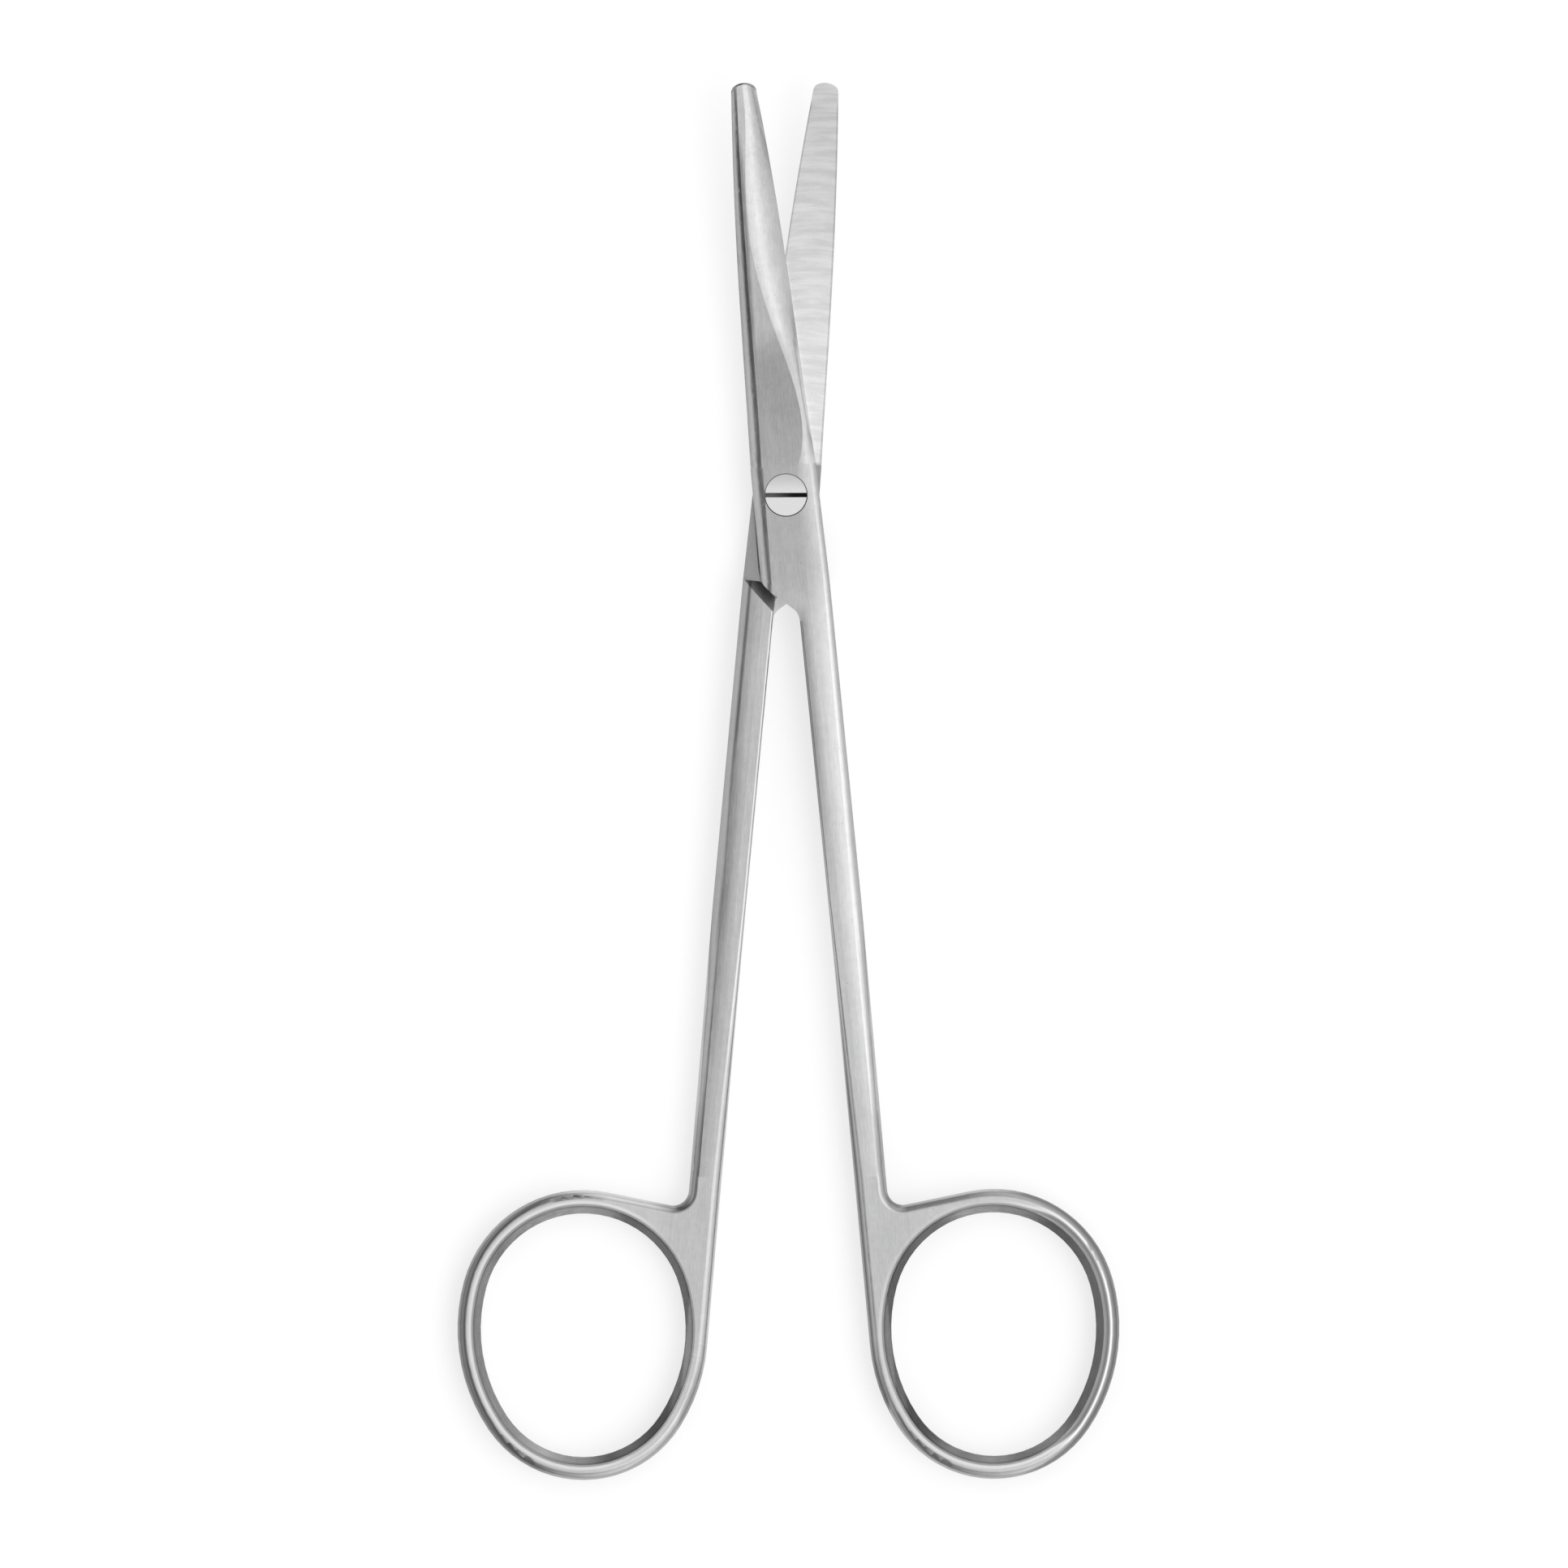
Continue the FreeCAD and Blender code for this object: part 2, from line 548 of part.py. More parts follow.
def draw_tip(sketch):
    """Everything beyond the rounded tip."""
    centre = Vector(size("tip_x"), size("tip_y"), 0)
    radius = size("tip_round")
    left, right = centre - Vector(radius, 0, 0), centre + Vector(radius, 0, 0)
    low, high = Vector(0, centre.y, 0), Vector(0, centre.y + 5, 0)
    wide = Vector(4, 0, 0)
    draw_arc(sketch, centre, radius, right, left)
    points = [left, low - wide, high - wide, high + wide, low + wide, right]
    for start, end in zip(points, points[1:]):
        sketch.addGeometry(Part.LineSegment(start, end), False)
    for i in range(6):
        sketch.addConstraint(Sketcher.Constraint("Coincident", i, 2, (i + 1) % 6, 1))
    for i, kind in ((1, "Horizontal"), (2, "Vertical"), (3, "Horizontal"), (4, "Vertical"), (5, "Horizontal")):
        sketch.addConstraint(Sketcher.Constraint(kind, i))
    fix_point(sketch, 0, 3, "dims.tip_x", "dims.tip_y")
    fix_value(sketch, "Radius", 0, "dims.tip_round")
    fix_point(sketch, 3, 1, "-4", "dims.tip_y + 5")
    sketch.addConstraint(Sketcher.Constraint("DistanceX", -1, 1, 3, 2, 4))
    sketch.addConstraint(Sketcher.Constraint("PointOnObject", 0, 3, 1))
    sketch.addConstraint(Sketcher.Constraint("PointOnObject", 0, 3, 5))


def bore(body, name, across, length, offset=None, both=False):
    """Round hole about the screw axis, cut down from its plane."""
    sketch = new_sketch(body, name + "_circle", "XY_Plane", offset)
    sketch.addGeometry(Part.Circle(Vector(0, 0, 0), Vector(0, 0, 1), evaluate(across) / 2), False)
    sketch.addConstraint(Sketcher.Constraint("Coincident", 0, 3, -1, 1))
    fix_value(sketch, "Diameter", 0, across)
    return pocket(body, name, sketch, length, both=both)


def make_screw():
    """Slotted shoulder screw, turned, threaded end down."""
    body = new_body("joint_screw")
    sketch = new_sketch(body, "joint_screw_profile", "XZ_Plane")
    low = "2 * dims.half_plate - dims.head_deep + dims.head_lift"
    draw_profile(sketch, [
        ("0", "0", "line"),
        ("dims.thread_across / 2", "0", "line"),
        ("dims.thread_across / 2", "dims.half_plate", "line"),
        ("dims.shoulder_across / 2", "dims.half_plate", "line"),
        ("dims.shoulder_across / 2", low, "line"),
        ("dims.head_across / 2", low, "line"),
        ("dims.head_across / 2", low + " + dims.head_high", "line"),
        ("0", low + " + dims.head_high", "line"),
    ])
    turned = body.newObject("PartDesign::Revolution", "joint_screw_turned")
    turned.Profile = sketch
    turned.ReferenceAxis = (sketch, ["V_Axis"])
    turned.Angle = 360
    doc.recompute()
    sketch = new_sketch(body, "joint_screw_slot_outline", "XY_Plane", low + " + dims.head_high")
    draw_profile(sketch, [
        ("-dims.head_across", "-dims.slot_wide / 2", "line"),
        ("dims.head_across", "-dims.slot_wide / 2", "line"),
        ("dims.head_across", "dims.slot_wide / 2", "line"),
        ("-dims.head_across", "dims.slot_wide / 2", "line"),
    ])
    pocket(body, "joint_screw_slot", sketch, "dims.slot_deep")
    return body


upper = make_half("upper_half", 1)
bore(upper, "upper_half_bore", "dims.bore_across", "dims.half_plate", "dims.half_plate")
bore(upper, "upper_half_recess", "dims.head_seat", "dims.head_deep", "dims.half_plate")
lower = make_half("lower_half", -1)
bore(lower, "lower_half_thread", "dims.thread_across", "dims.half_plate", "dims.half_plate")
screw = make_screw()

# The upper half is lifted onto the parting plane. The lower half is turned over below it.
turn = size("open_half")
lift = Vector(0, 0, size("half_plate"))
up = Vector(0, 0, 1)
upper.Placement = FreeCAD.Placement(lift, FreeCAD.Rotation(up, turn))
flip = FreeCAD.Rotation(up, -turn) * FreeCAD.Rotation(Vector(0, 1, 0), 180)
lower.Placement = FreeCAD.Placement(lift, flip)
doc.recompute()

for item in doc.Objects:
    if set(item.State) & {"Invalid", "Error"}:
        raise RuntimeError(f"{item.Name} failed: {item.getStatusString()}")
os.makedirs("parts", exist_ok=True)
for body in (upper, lower, screw):
    shape = body.Shape
    if shape.isNull() or not shape.isValid() or len(shape.Solids) != 1:
        raise RuntimeError(f"{body.Label} is not one valid solid")
    shape.exportStep(f"parts/{body.Label}.step")
    print(body.Label, round(shape.Volume, 2), "mm3")
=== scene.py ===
"""Fine dissecting scissors in brushed stainless steel, seen from straight above."""
import bpy
import math
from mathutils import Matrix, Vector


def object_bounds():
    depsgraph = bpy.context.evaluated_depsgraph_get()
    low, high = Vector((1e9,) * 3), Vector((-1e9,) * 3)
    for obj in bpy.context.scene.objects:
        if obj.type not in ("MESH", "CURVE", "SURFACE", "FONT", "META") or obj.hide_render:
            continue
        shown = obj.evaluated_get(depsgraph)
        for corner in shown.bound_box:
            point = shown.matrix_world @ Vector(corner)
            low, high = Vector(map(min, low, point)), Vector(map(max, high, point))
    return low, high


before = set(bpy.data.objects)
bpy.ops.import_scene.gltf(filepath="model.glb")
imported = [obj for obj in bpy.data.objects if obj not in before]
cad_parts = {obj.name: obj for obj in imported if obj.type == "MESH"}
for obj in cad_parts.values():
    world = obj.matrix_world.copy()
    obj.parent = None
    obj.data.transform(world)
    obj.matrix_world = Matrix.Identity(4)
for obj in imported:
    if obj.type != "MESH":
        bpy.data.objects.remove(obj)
cad_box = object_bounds()

scene = bpy.context.scene
scene.view_settings.view_transform = "Standard"

# Angle of each half from closed, and the photograph's width, scale, screw and small turn
OPEN_HALF = math.radians(5.45)
PICTURE = 1932
MM_PER_PIXEL = 0.0832855
PIVOT_PIXEL = (969.5, 610.0)
ROLL = math.radians(-0.17)

MM_PER_METRE = 1000.0
JOINT_THICK = 4.0


# Node helpers

class Nodes:
    """Short calls for building one node tree."""

    def __init__(self, tree):
        self.tree = tree
        tree.nodes.clear()

    def add(self, kind, **values):
        node = self.tree.nodes.new(kind)
        for name, value in values.items():
            setattr(node, name, value)
        return node

    def link(self, source, target):
        if isinstance(source, (int, float, tuple)):
            target.default_value = source
        else:
            self.tree.links.new(source, target)

    def math(self, operation, first, second=0.0):
        node = self.add("ShaderNodeMath", operation=operation)
        self.link(first, node.inputs[0])
        self.link(second, node.inputs[1])
        return node.outputs[0]

    def times(self, first, *others):
        for value in others:
            first = self.math("MULTIPLY", first, value)
        return first

    def plus(self, first, *others):
        for value in others:
            first = self.math("ADD", first, value)
        return first

    def length(self, x, y):
        return self.math("SQRT", self.plus(self.times(x, x), self.times(y, y)))

    def vector(self, operation, first, second=(0.0, 0.0, 0.0)):
        node = self.add("ShaderNodeVectorMath", operation=operation)
        self.link(first, node.inputs[0])
        self.link(second, node.inputs[1])
        return node.outputs["Value" if operation in ("DOT_PRODUCT", "LENGTH") else "Vector"]

    def turned(self, vector, angle):
        """The vector turned about the screw axis."""
        node = self.add("ShaderNodeVectorRotate", rotation_type="Z_AXIS")
        node.inputs["Angle"].default_value = angle
        self.link(vector, node.inputs["Vector"])
        return node.outputs[0]

    def parts(self, vector):
        node = self.add("ShaderNodeSeparateXYZ")
        self.link(vector, node.inputs[0])
        return node.outputs[0], node.outputs[1], node.outputs[2]

    def joined(self, x, y, z):
        node = self.add("ShaderNodeCombineXYZ")
        self.link(x, node.inputs[0])
        self.link(y, node.inputs[1])
        self.link(z, node.inputs[2])
        return node.outputs[0]

    def step(self, value, low, high, start=0.0, end=1.0, smooth=True):
        """Runs from start to end while value goes from low to high."""
        node = self.add("ShaderNodeMapRange", interpolation_type="SMOOTHSTEP" if smooth else "LINEAR")
        node.clamp = True
        self.link(value, node.inputs["Value"])
        if low > high:
            low, high, start, end = high, low, end, start
        node.inputs["From Min"].default_value = low
        node.inputs["From Max"].default_value = high
        node.inputs["To Min"].default_value = start
        node.inputs["To Max"].default_value = end
        return node.outputs["Result"]

    def spread(self, value, low, high, start, end):
        """The same in a straight line, for noise."""
        return self.step(value, low, high, start, end, smooth=False)

    def swing(self, noise, amount, low=0.3, high=0.7):
        """From minus to plus the amount while the noise goes from low to high."""
        return self.spread(noise, low, high, -amount, amount)

    def within(self, value, *ends):
        """Soft mask: 0 at the first end and 1 at the second, then 1 at the third and 0 at the last."""
        mask = self.step(value, ends[0], ends[1])
        if len(ends) == 4:
            mask = self.times(mask, self.step(value, ends[3], ends[2]))
        return mask

    def blend(self, factor, first, second):
        node = self.add("ShaderNodeMix", data_type="FLOAT")
        self.link(factor, node.inputs[0])
        self.link(first, node.inputs[2])
        self.link(second, node.inputs[3])
        return node.outputs[0]

    def blend_vector(self, factor, first, second):
        node = self.add("ShaderNodeMix", data_type="VECTOR")
        self.link(factor, node.inputs[0])
        self.link(first, node.inputs[4])
        self.link(second, node.inputs[5])
        return node.outputs[1]

    def shade(self, level, mask, tone):
        """The level times the tone where the mask is 1."""
        return self.times(level, self.blend(mask, 1.0, tone))

    def noise(self, vector, scale, detail=2.0, rough=0.5):
        node = self.add("ShaderNodeTexNoise")
        self.link(vector, node.inputs["Vector"])
        node.inputs["Scale"].default_value = scale
        node.inputs["Detail"].default_value = detail
        node.inputs["Roughness"].default_value = rough
        return node.outputs[0]

    def bump(self, height, distance, normal=None):
        """Bump whose height of 1 stands for a distance in metres."""
        node = self.add("ShaderNodeBump")
        node.inputs["Distance"].default_value = distance
        self.link(height, node.inputs["Height"])
        if normal is not None:
            self.link(normal, node.inputs["Normal"])
        return node.outputs[0]


def new_steel(name):
    material = bpy.data.materials.new(name)
    material.use_nodes = True
    nodes = Nodes(material.node_tree)
    shader = nodes.add("ShaderNodeBsdfPrincipled")
    shader.inputs["Metallic"].default_value = 1.0
    output = nodes.add("ShaderNodeOutputMaterial")
    nodes.link(shader.outputs[0], output.inputs["Surface"])
    return material, nodes, shader


def set_steel(nodes, shader, level, rough, normal):
    """A very slightly cool grey of that level, with its roughness and bump."""
    tint = nodes.joined(level, level, nodes.times(level, 1.008))
    nodes.link(tint, shader.inputs["Base Color"])
    nodes.link(rough, shader.inputs["Roughness"])
    nodes.link(normal, shader.inputs["Normal"])


# Places on the surfaces, in millimetres

class Place:
    """A point of a surface, and soft masks made from its coordinates."""

    def __init__(self, nodes, point):
        self.nodes = nodes
        self.point = point
        self.x, self.y, self.z = nodes.parts(point)
        self.from_screw = nodes.length(self.x, self.y)

    def mask(self, **borders):
        """1 inside all borders and 0 outside. Each is a coordinate's name with its ends."""
        masks = [self.nodes.within(getattr(self, name), *ends) for name, ends in borders.items()]
        return self.nodes.times(*masks)


# Middle of the finger ring, and how far its height is pressed to make the oval round
RING_MIDDLE = (12.8, -87.4)
RING_PRESS = 0.84

# The ring's hole is an oval of four arcs: upper and lower centre, then the radii of the upper,
# lower and side arcs
HOLE_TOP = (13.0, -85.6)
HOLE_LOW = (12.5, -90.9)
HOLE_ARCS = (10.3, 9.4, 16.2)

# Centre of the blade's rounded tip
TIP_MIDDLE = (-0.25, 40.6)

# Long edges of the inner blade face: distance from x = 0 beside the screw, then how that changes
# with y and with its cube
BACK_EDGE = (3.36, -0.0235, -1.144e-5)
CUT_EDGE = (3.202, -0.02646, -1.476e-5)

# The normal's z where a mask of the face towards the other half is still 0, and where it is 1
FACING_IN = (-0.72, -0.86)

# How far the satin lines are drawn out along each half and round the ring, and the grinding
# lines across the inner blade face. Less is longer.
ALONG_HALF = 0.09
ROUND_RING = 1.2
ACROSS_BLADE = 0.06
STROKE_ACROSS = 0.14
BETWEEN_LINES = 0.45

# Depth of the lines in metres
BROAD_DEPTH = 4e-6
FINE_DEPTH = 2.5e-6
TURNING_DEPTH = 2e-6


class HalfPlace(Place):
    """A point of one half as if the half were closed, and the way its surface faces there.

    x runs towards the ring, y towards the tip and z from the seat face at half the joint's
    thickness to the outer face. nx, ny and nz are the normal, turned with the point. inner, low
    and on_ring are masks of the inner blade face, of all below the shank and of the ring.
    """

    def __init__(self, nodes, turn, flip):
        side = -1.0 if flip else 1.0
        mm = MM_PER_METRE
        source = nodes.add("ShaderNodeTexCoord").outputs
        point = nodes.turned(source["Object"], turn)
        point = nodes.vector("MULTIPLY", point, (mm * side, mm, mm * side))
        if flip:
            point = nodes.vector("ADD", point, (0.0, 0.0, JOINT_THICK))
        super().__init__(nodes, point)
        normal = nodes.turned(source["Normal"], turn)
        normal = nodes.vector("MULTIPLY", normal, (side, 1.0, side))
        self.nx, self.ny, self.nz = nodes.parts(normal)
        self.inner = self.mask(nz=FACING_IN, y=(3.3, 3.9))
        # Grinding strokes across the inner face are bowed and a little aslant
        bow = nodes.times(self.x, self.x, 0.035)
        self.stroke_y = nodes.plus(self.y, nodes.plus(bow, nodes.times(self.x, 0.10)))
        self.measure_ring()

    def half_width(self, edge):
        """Distance of a long edge of the inner face from x = 0."""
        nodes = self.nodes
        start, slope, bow = edge
        cube = nodes.math("POWER", nodes.math("MAXIMUM", self.y, 0.0), 3.0)
        return nodes.plus(nodes.times(self.y, slope), nodes.times(cube, bow), start)

    def measure_ring(self):
        nodes = self.nodes
        self.ring_x = nodes.math("SUBTRACT", self.x, RING_MIDDLE[0])
        self.ring_y = nodes.times(nodes.math("SUBTRACT", self.y, RING_MIDDLE[1]), RING_PRESS)
        self.from_ring = nodes.length(self.ring_x, self.ring_y)
        outward = nodes.plus(nodes.times(self.nx, self.ring_x), nodes.times(self.ny, self.ring_y))
        self.outward = nodes.math("DIVIDE", outward, self.from_ring)
        self.low = self.mask(y=(-71.5, -74.5))
        beside = self.mask(x=(4.6, 7.5))
        under = self.mask(y=(-86.0, -93.0))
        self.on_ring = nodes.times(self.low, nodes.math("MAXIMUM", beside, under))
        self.from_hole = self.distance_from_hole()

    def distance_from_hole(self):
        """Distance outwards from the edge of the ring's hole.

        up runs from the upper centre along the line through both centres, and out is the
        distance from that line.
        """
        nodes = self.nodes
        top, low, side = HOLE_ARCS
        drop = math.dist(HOLE_TOP, HOLE_LOW)
        slant_x = (HOLE_TOP[0] - HOLE_LOW[0]) / drop
        slant_y = (HOLE_TOP[1] - HOLE_LOW[1]) / drop
        side_y = ((side - low) ** 2 - (side - top) ** 2 - drop ** 2) / (2 * drop)
        side_x = -math.sqrt((side - top) ** 2 - side_y ** 2)
        place = nodes.vector("SUBTRACT", nodes.joined(self.x, self.y, 0.0), HOLE_TOP + (0.0,))
        up = nodes.vector("DOT_PRODUCT", place, (slant_x, slant_y, 0.0))
        out = nodes.math("ABSOLUTE", nodes.vector("DOT_PRODUCT", place, (slant_y, -slant_x, 0.0)))

        def beyond(centre_x, centre_y, arc):
            reach_x = nodes.math("SUBTRACT", out, centre_x)
            reach_y = nodes.math("SUBTRACT", up, centre_y)
            return nodes.math("SUBTRACT", nodes.length(reach_x, reach_y), arc)

        above = nodes.math("GREATER_THAN", up, nodes.times(out, side_y / side_x))
        limit = nodes.times(out, (drop + side_y) / side_x)
        under = nodes.math("LESS_THAN", up, nodes.math("SUBTRACT", limit, drop))
        distance = nodes.blend(above, beyond(side_x, side_y, side), beyond(0.0, 0.0, top))
        return nodes.blend(under, distance, beyond(0.0, -drop, low))


# Brushed steel of the two halves

def satin_lines(nodes, here):
    """Fine and broad lines along shank and blade, round the ring and across the inner face."""
    along = nodes.joined(here.x, nodes.times(here.y, ALONG_HALF), here.z)
    angle = nodes.math("ARCTAN2", here.ring_y, here.ring_x)
    around = nodes.joined(here.from_ring, nodes.times(angle, ROUND_RING), here.z)
    line_y = nodes.times(here.stroke_y, BETWEEN_LINES)
    across = nodes.joined(nodes.times(here.x, ACROSS_BLADE), line_y, 0.0)
    grain = nodes.blend_vector(here.on_ring, along, around)
    grain = nodes.blend_vector(here.inner, grain, across)
    fine = nodes.noise(grain, 8.0, detail=3.0, rough=0.6)
    broad = nodes.noise(grain, 1.6, detail=2.0, rough=0.55)
    return fine, broad


def satin_level(nodes, here, fine, broad, patches):
    """Grey of the open surfaces, with its lines, patches and specks."""
    plain = 0.61
    fine = nodes.swing(fine, 0.035, low=0.25, high=0.75)
    fine = nodes.times(fine, nodes.blend(here.inner, 1.0, 0.5))
    broad = nodes.swing(broad, 0.014)
    patches = nodes.swing(patches, 0.020)
    stroke = nodes.joined(nodes.times(here.x, STROKE_ACROSS), here.stroke_y, 0.0)
    strokes = nodes.step(nodes.noise(stroke, 1.3, detail=4.0, rough=0.62), 0.36, 0.64, -0.06, 0.06)
    # Mottling and dark specks are mostly outside the inner blade face
    outside = nodes.math("SUBTRACT", 1.0, nodes.times(here.inner, 0.8))
    mottle = nodes.noise(here.point, 1.3, detail=3.0, rough=0.65)
    mottle = nodes.swing(mottle, 0.020)
    speck = nodes.step(nodes.noise(here.point, 2.6, detail=1.0), 0.74, 0.80)
    shank = nodes.step(here.y, -9.0, -20.0, 0.0, 0.035)
    level = nodes.plus(fine, plain, broad, nodes.times(here.inner, strokes), shank, patches)
    level = nodes.plus(level, nodes.times(mottle, outside), nodes.times(speck, outside, -0.10))
    # Painted light and shade: the inner face is painted brightest near the joint, and the joint plate
    # and the sloped outer blade are painted darker than the shank
    inner = nodes.step(here.y, 6.0, 42.0, 0.34, 0.10)
    plate = here.mask(y=(-14.0, -6.0, 13.5, 18.5), nz=(0.90, 0.97))
    plate_top = here.mask(y=(1.0, 9.0, 12.5, 18.5), nz=(0.90, 0.99))
    outer_blade = here.mask(y=(8.0, 22.0), nz=(0.1, 0.4))
    return nodes.plus(
        level,
        nodes.times(here.inner, inner),
        nodes.times(plate, -0.08),
        nodes.times(plate_top, -0.10),
        nodes.times(outer_blade, -0.06),
        nodes.times(here.on_ring, 0.05),
    )


def inner_face_tones(nodes, here, level):
    """Painted shade draws the two eased long edges of the inner face as thin dark lines, and darkens
    the seat.
    """
    from_back = nodes.plus(here.half_width(BACK_EDGE), here.x)
    from_cut = nodes.math("SUBTRACT", here.half_width(CUT_EDGE), here.x)
    painted_edge_shade = nodes.within(nodes.math("MINIMUM", from_back, from_cut), 0.22, 0.08)
    painted_edge_shade = nodes.times(painted_edge_shade, here.mask(y=(40.8, 39.8)), here.inner)
    seat = here.mask(nz=FACING_IN, y=(3.6, 3.2), z=(1.80, 1.90))
    level = nodes.shade(level, painted_edge_shade, 0.70)
    return nodes.shade(level, seat, 0.62)


def hole_tones(nodes, here, level, wide, shine):
    """Painted shade inside the ring's hole and on its bevel, with a painted dark line at the bevel's
    outer edge and a painted highlight line just beyond it.

    wide is 1 where all of this lies further out, with a broad painted shade on that inner side, and
    shine is how bright the painted highlight line is.
    """
    further = 0.45
    beyond = nodes.math("SUBTRACT", here.from_hole, nodes.times(wide, further))
    inside = nodes.times(here.mask(outward=(-0.30, -0.50)), here.low)
    deep = nodes.times(nodes.within(beyond, 0.92, 0.80), wide)
    line = nodes.times(nodes.within(beyond, 0.50, 0.80, 0.92, 1.02), here.low)
    painted_highlight = nodes.times(nodes.within(beyond, 0.98, 1.08, 1.20, 1.42), here.low, shine)
    level = nodes.shade(level, inside, 0.72)
    level = nodes.shade(level, deep, 0.55)
    level = nodes.shade(level, line, 0.62)
    return nodes.blend(nodes.times(painted_highlight, 0.75), level, 0.97)


def ring_tones(nodes, here, level, top):
    """Painted shade on the rounded outer side of the ring, with its own strength at the top, and in
    its hollow by the shank.
    """
    outer = nodes.times(here.mask(outward=(0.08, 0.26)), here.on_ring)
    tone = nodes.blend(here.mask(ny=(0.15, 0.45)), 0.62, top)
    tone = nodes.blend(here.mask(ny=(-0.10, -0.30)), tone, 0.56)
    hollow = here.mask(ny=(0.08, 0.25), y=(-70.0, -72.5), x=(2.8, 3.6, 4.6, 7.5))
    level = nodes.shade(level, outer, tone)
    return nodes.shade(level, hollow, 0.55)


def near_shank_tones(nodes, here, level):
    """Painted glint and painted dark edge low on the shank's inner side, and painted shade on the side
    near the joint.
    """
    glint = here.mask(nx=(-0.36, -0.24, -0.14, -0.05), y=(-52.0, -64.0), x=(2.4, 1.9))
    shaded = here.mask(x=(1.35, 0.45), y=(-44.0, -26.0, -13.5, -11.0))
    edge = here.mask(nx=(-0.30, -0.60), y=(-48.0, -64.0), x=(1.6, 1.2))
    level = nodes.shade(level, glint, 1.45)
    level = nodes.shade(level, shaded, 0.66)
    return nodes.shade(level, edge, 0.45)


def far_shank_tones(nodes, here, level):
    """A painted dark shade line beside a painted lighter stretch below the joint, and painted shade on
    the inner side at the ring.
    """
    side = here.mask(nx=(-0.06, -0.15), y=(-52.0, -64.0), x=(2.4, 1.9))
    by_joint = here.mask(y=(-32.0, -22.0, -9.4, -8.6), nz=(-0.2, -0.5), z=(1.6, 1.3))
    line = nodes.times(here.mask(x=(2.62, 2.76, 2.88, 3.02)), by_joint)
    face = nodes.times(here.mask(x=(1.2, 1.8, 2.54, 2.66)), by_joint)
    level = nodes.shade(level, side, 0.82)
    level = nodes.shade(level, line, 0.50)
    return nodes.shade(level, face, 1.16)


def edge_tones(nodes, here, level):
    """Painted shade on the blade spine, on the rounded side of shank and plate, and on the bevel of
    the tip.
    """
    # The spine leans by 0.03 against y, about its place at y = 30
    lean = nodes.times(nodes.math("SUBTRACT", 30.0, here.y), 0.03)
    spine = nodes.within(nodes.plus(here.x, lean), -2.0, -1.65, -1.40, -0.95)
    spine = nodes.times(spine, here.mask(y=(13.0, 18.0, 33.0, 39.0), nz=(0.1, 0.3)))
    # The strip along the side widens towards the ring
    lower = here.mask(y=(-56.0, -66.0))
    strip = nodes.within(nodes.plus(here.nx, nodes.times(lower, 0.20)), 0.28, 0.50)
    strip_side = nodes.within(nodes.plus(here.x, nodes.times(lower, 0.4)), 2.5, 2.8)
    strip = nodes.times(strip, strip_side, here.mask(y=(9.0, 3.0)))
    strip_tone = nodes.step(here.y, -60.0, -69.0, 0.80, 0.58)
    tip_x = nodes.math("SUBTRACT", here.x, TIP_MIDDLE[0])
    tip_y = nodes.math("SUBTRACT", here.y, TIP_MIDDLE[1])
    rim = nodes.within(nodes.length(tip_x, tip_y), 1.52, 1.62)
    slanted = nodes.within(nodes.math("ABSOLUTE", here.nz), 0.22, 0.34, 0.82, 0.92)
    tip_rim = nodes.times(here.mask(y=(40.7, 41.3)), rim, slanted)
    level = nodes.shade(level, spine, 0.50)
    level = nodes.shade(level, strip, strip_tone)
    return nodes.shade(level, tip_rim, 0.50)


def joint_tones(nodes, here, level, wall):
    """Painted shade on the machined walls of joint and shoulder, and in the gap round the screw head,
    where it is darkest towards the ring.
    """
    back = here.mask(nx=(-0.78, -0.90), x=(-2.8, -3.0), y=(-1.0, -4.0))
    gap = here.mask(z=(3.96, 3.90), from_screw=(2.30, 2.24))
    level = nodes.shade(level, wall, 0.75)
    level = nodes.blend(back, level, 0.08)
    return nodes.blend(gap, level, nodes.step(here.y, -1.2, 1.4, 0.03, 0.36))


def brushed_steel(name, turn, flip, ring_top):
    """Satin steel of one half, with painted light and shade set apart for each half. The near half has
    its joint plate on top, and the far half lies turned over under it, which is flip. ring_top is the
    strength of the painted shade on the ring's upper side."""
    material, nodes, shader = new_steel(name)
    here = HalfPlace(nodes, turn, flip)
    fine, broad = satin_lines(nodes, here)
    patches = nodes.noise(here.point, 0.22, detail=3.0, rough=0.55)
    wall = here.mask(ny=(0.45, 0.60), y=(-13.4, -12.8, -7.6, -7.0))
    # Painted shade and painted highlight in the ring's hole and on the shank are set apart for each
    # half
    if flip:
        wide = 0.0
        shine = here.mask(x=(5.0, 10.0))
        shank_tones = far_shank_tones
    else:
        wide = here.mask(x=(17.0, 21.0))
        left = nodes.step(here.y, -77.0, -84.0, 0.15, 0.55)
        shine = nodes.math("MAXIMUM", left, here.mask(x=(13.0, 19.0)))
        shine = nodes.math("MAXIMUM", shine, here.mask(y=(-93.0, -98.0)))
        shank_tones = near_shank_tones

    level = satin_level(nodes, here, fine, broad, patches)
    level = inner_face_tones(nodes, here, level)
    level = hole_tones(nodes, here, level, wide, shine)
    level = shank_tones(nodes, here, level)
    level = ring_tones(nodes, here, level, ring_top)
    level = edge_tones(nodes, here, level)
    level = joint_tones(nodes, here, level, wall)

    rough = nodes.plus(
        nodes.spread(patches, 0.3, 0.7, 0.19, 0.25),
        nodes.swing(fine, 0.03),
        nodes.times(here.inner, 0.06),
        nodes.times(wall, 0.22),
    )
    # The lines are less deep on the inner blade face
    normal = nodes.bump(nodes.times(broad, nodes.blend(here.inner, 1.0, 0.4)), BROAD_DEPTH)
    normal = nodes.bump(nodes.times(fine, nodes.blend(here.inner, 1.0, 0.12)), FINE_DEPTH, normal)
    set_steel(nodes, shader, level, rough, normal)
    return material


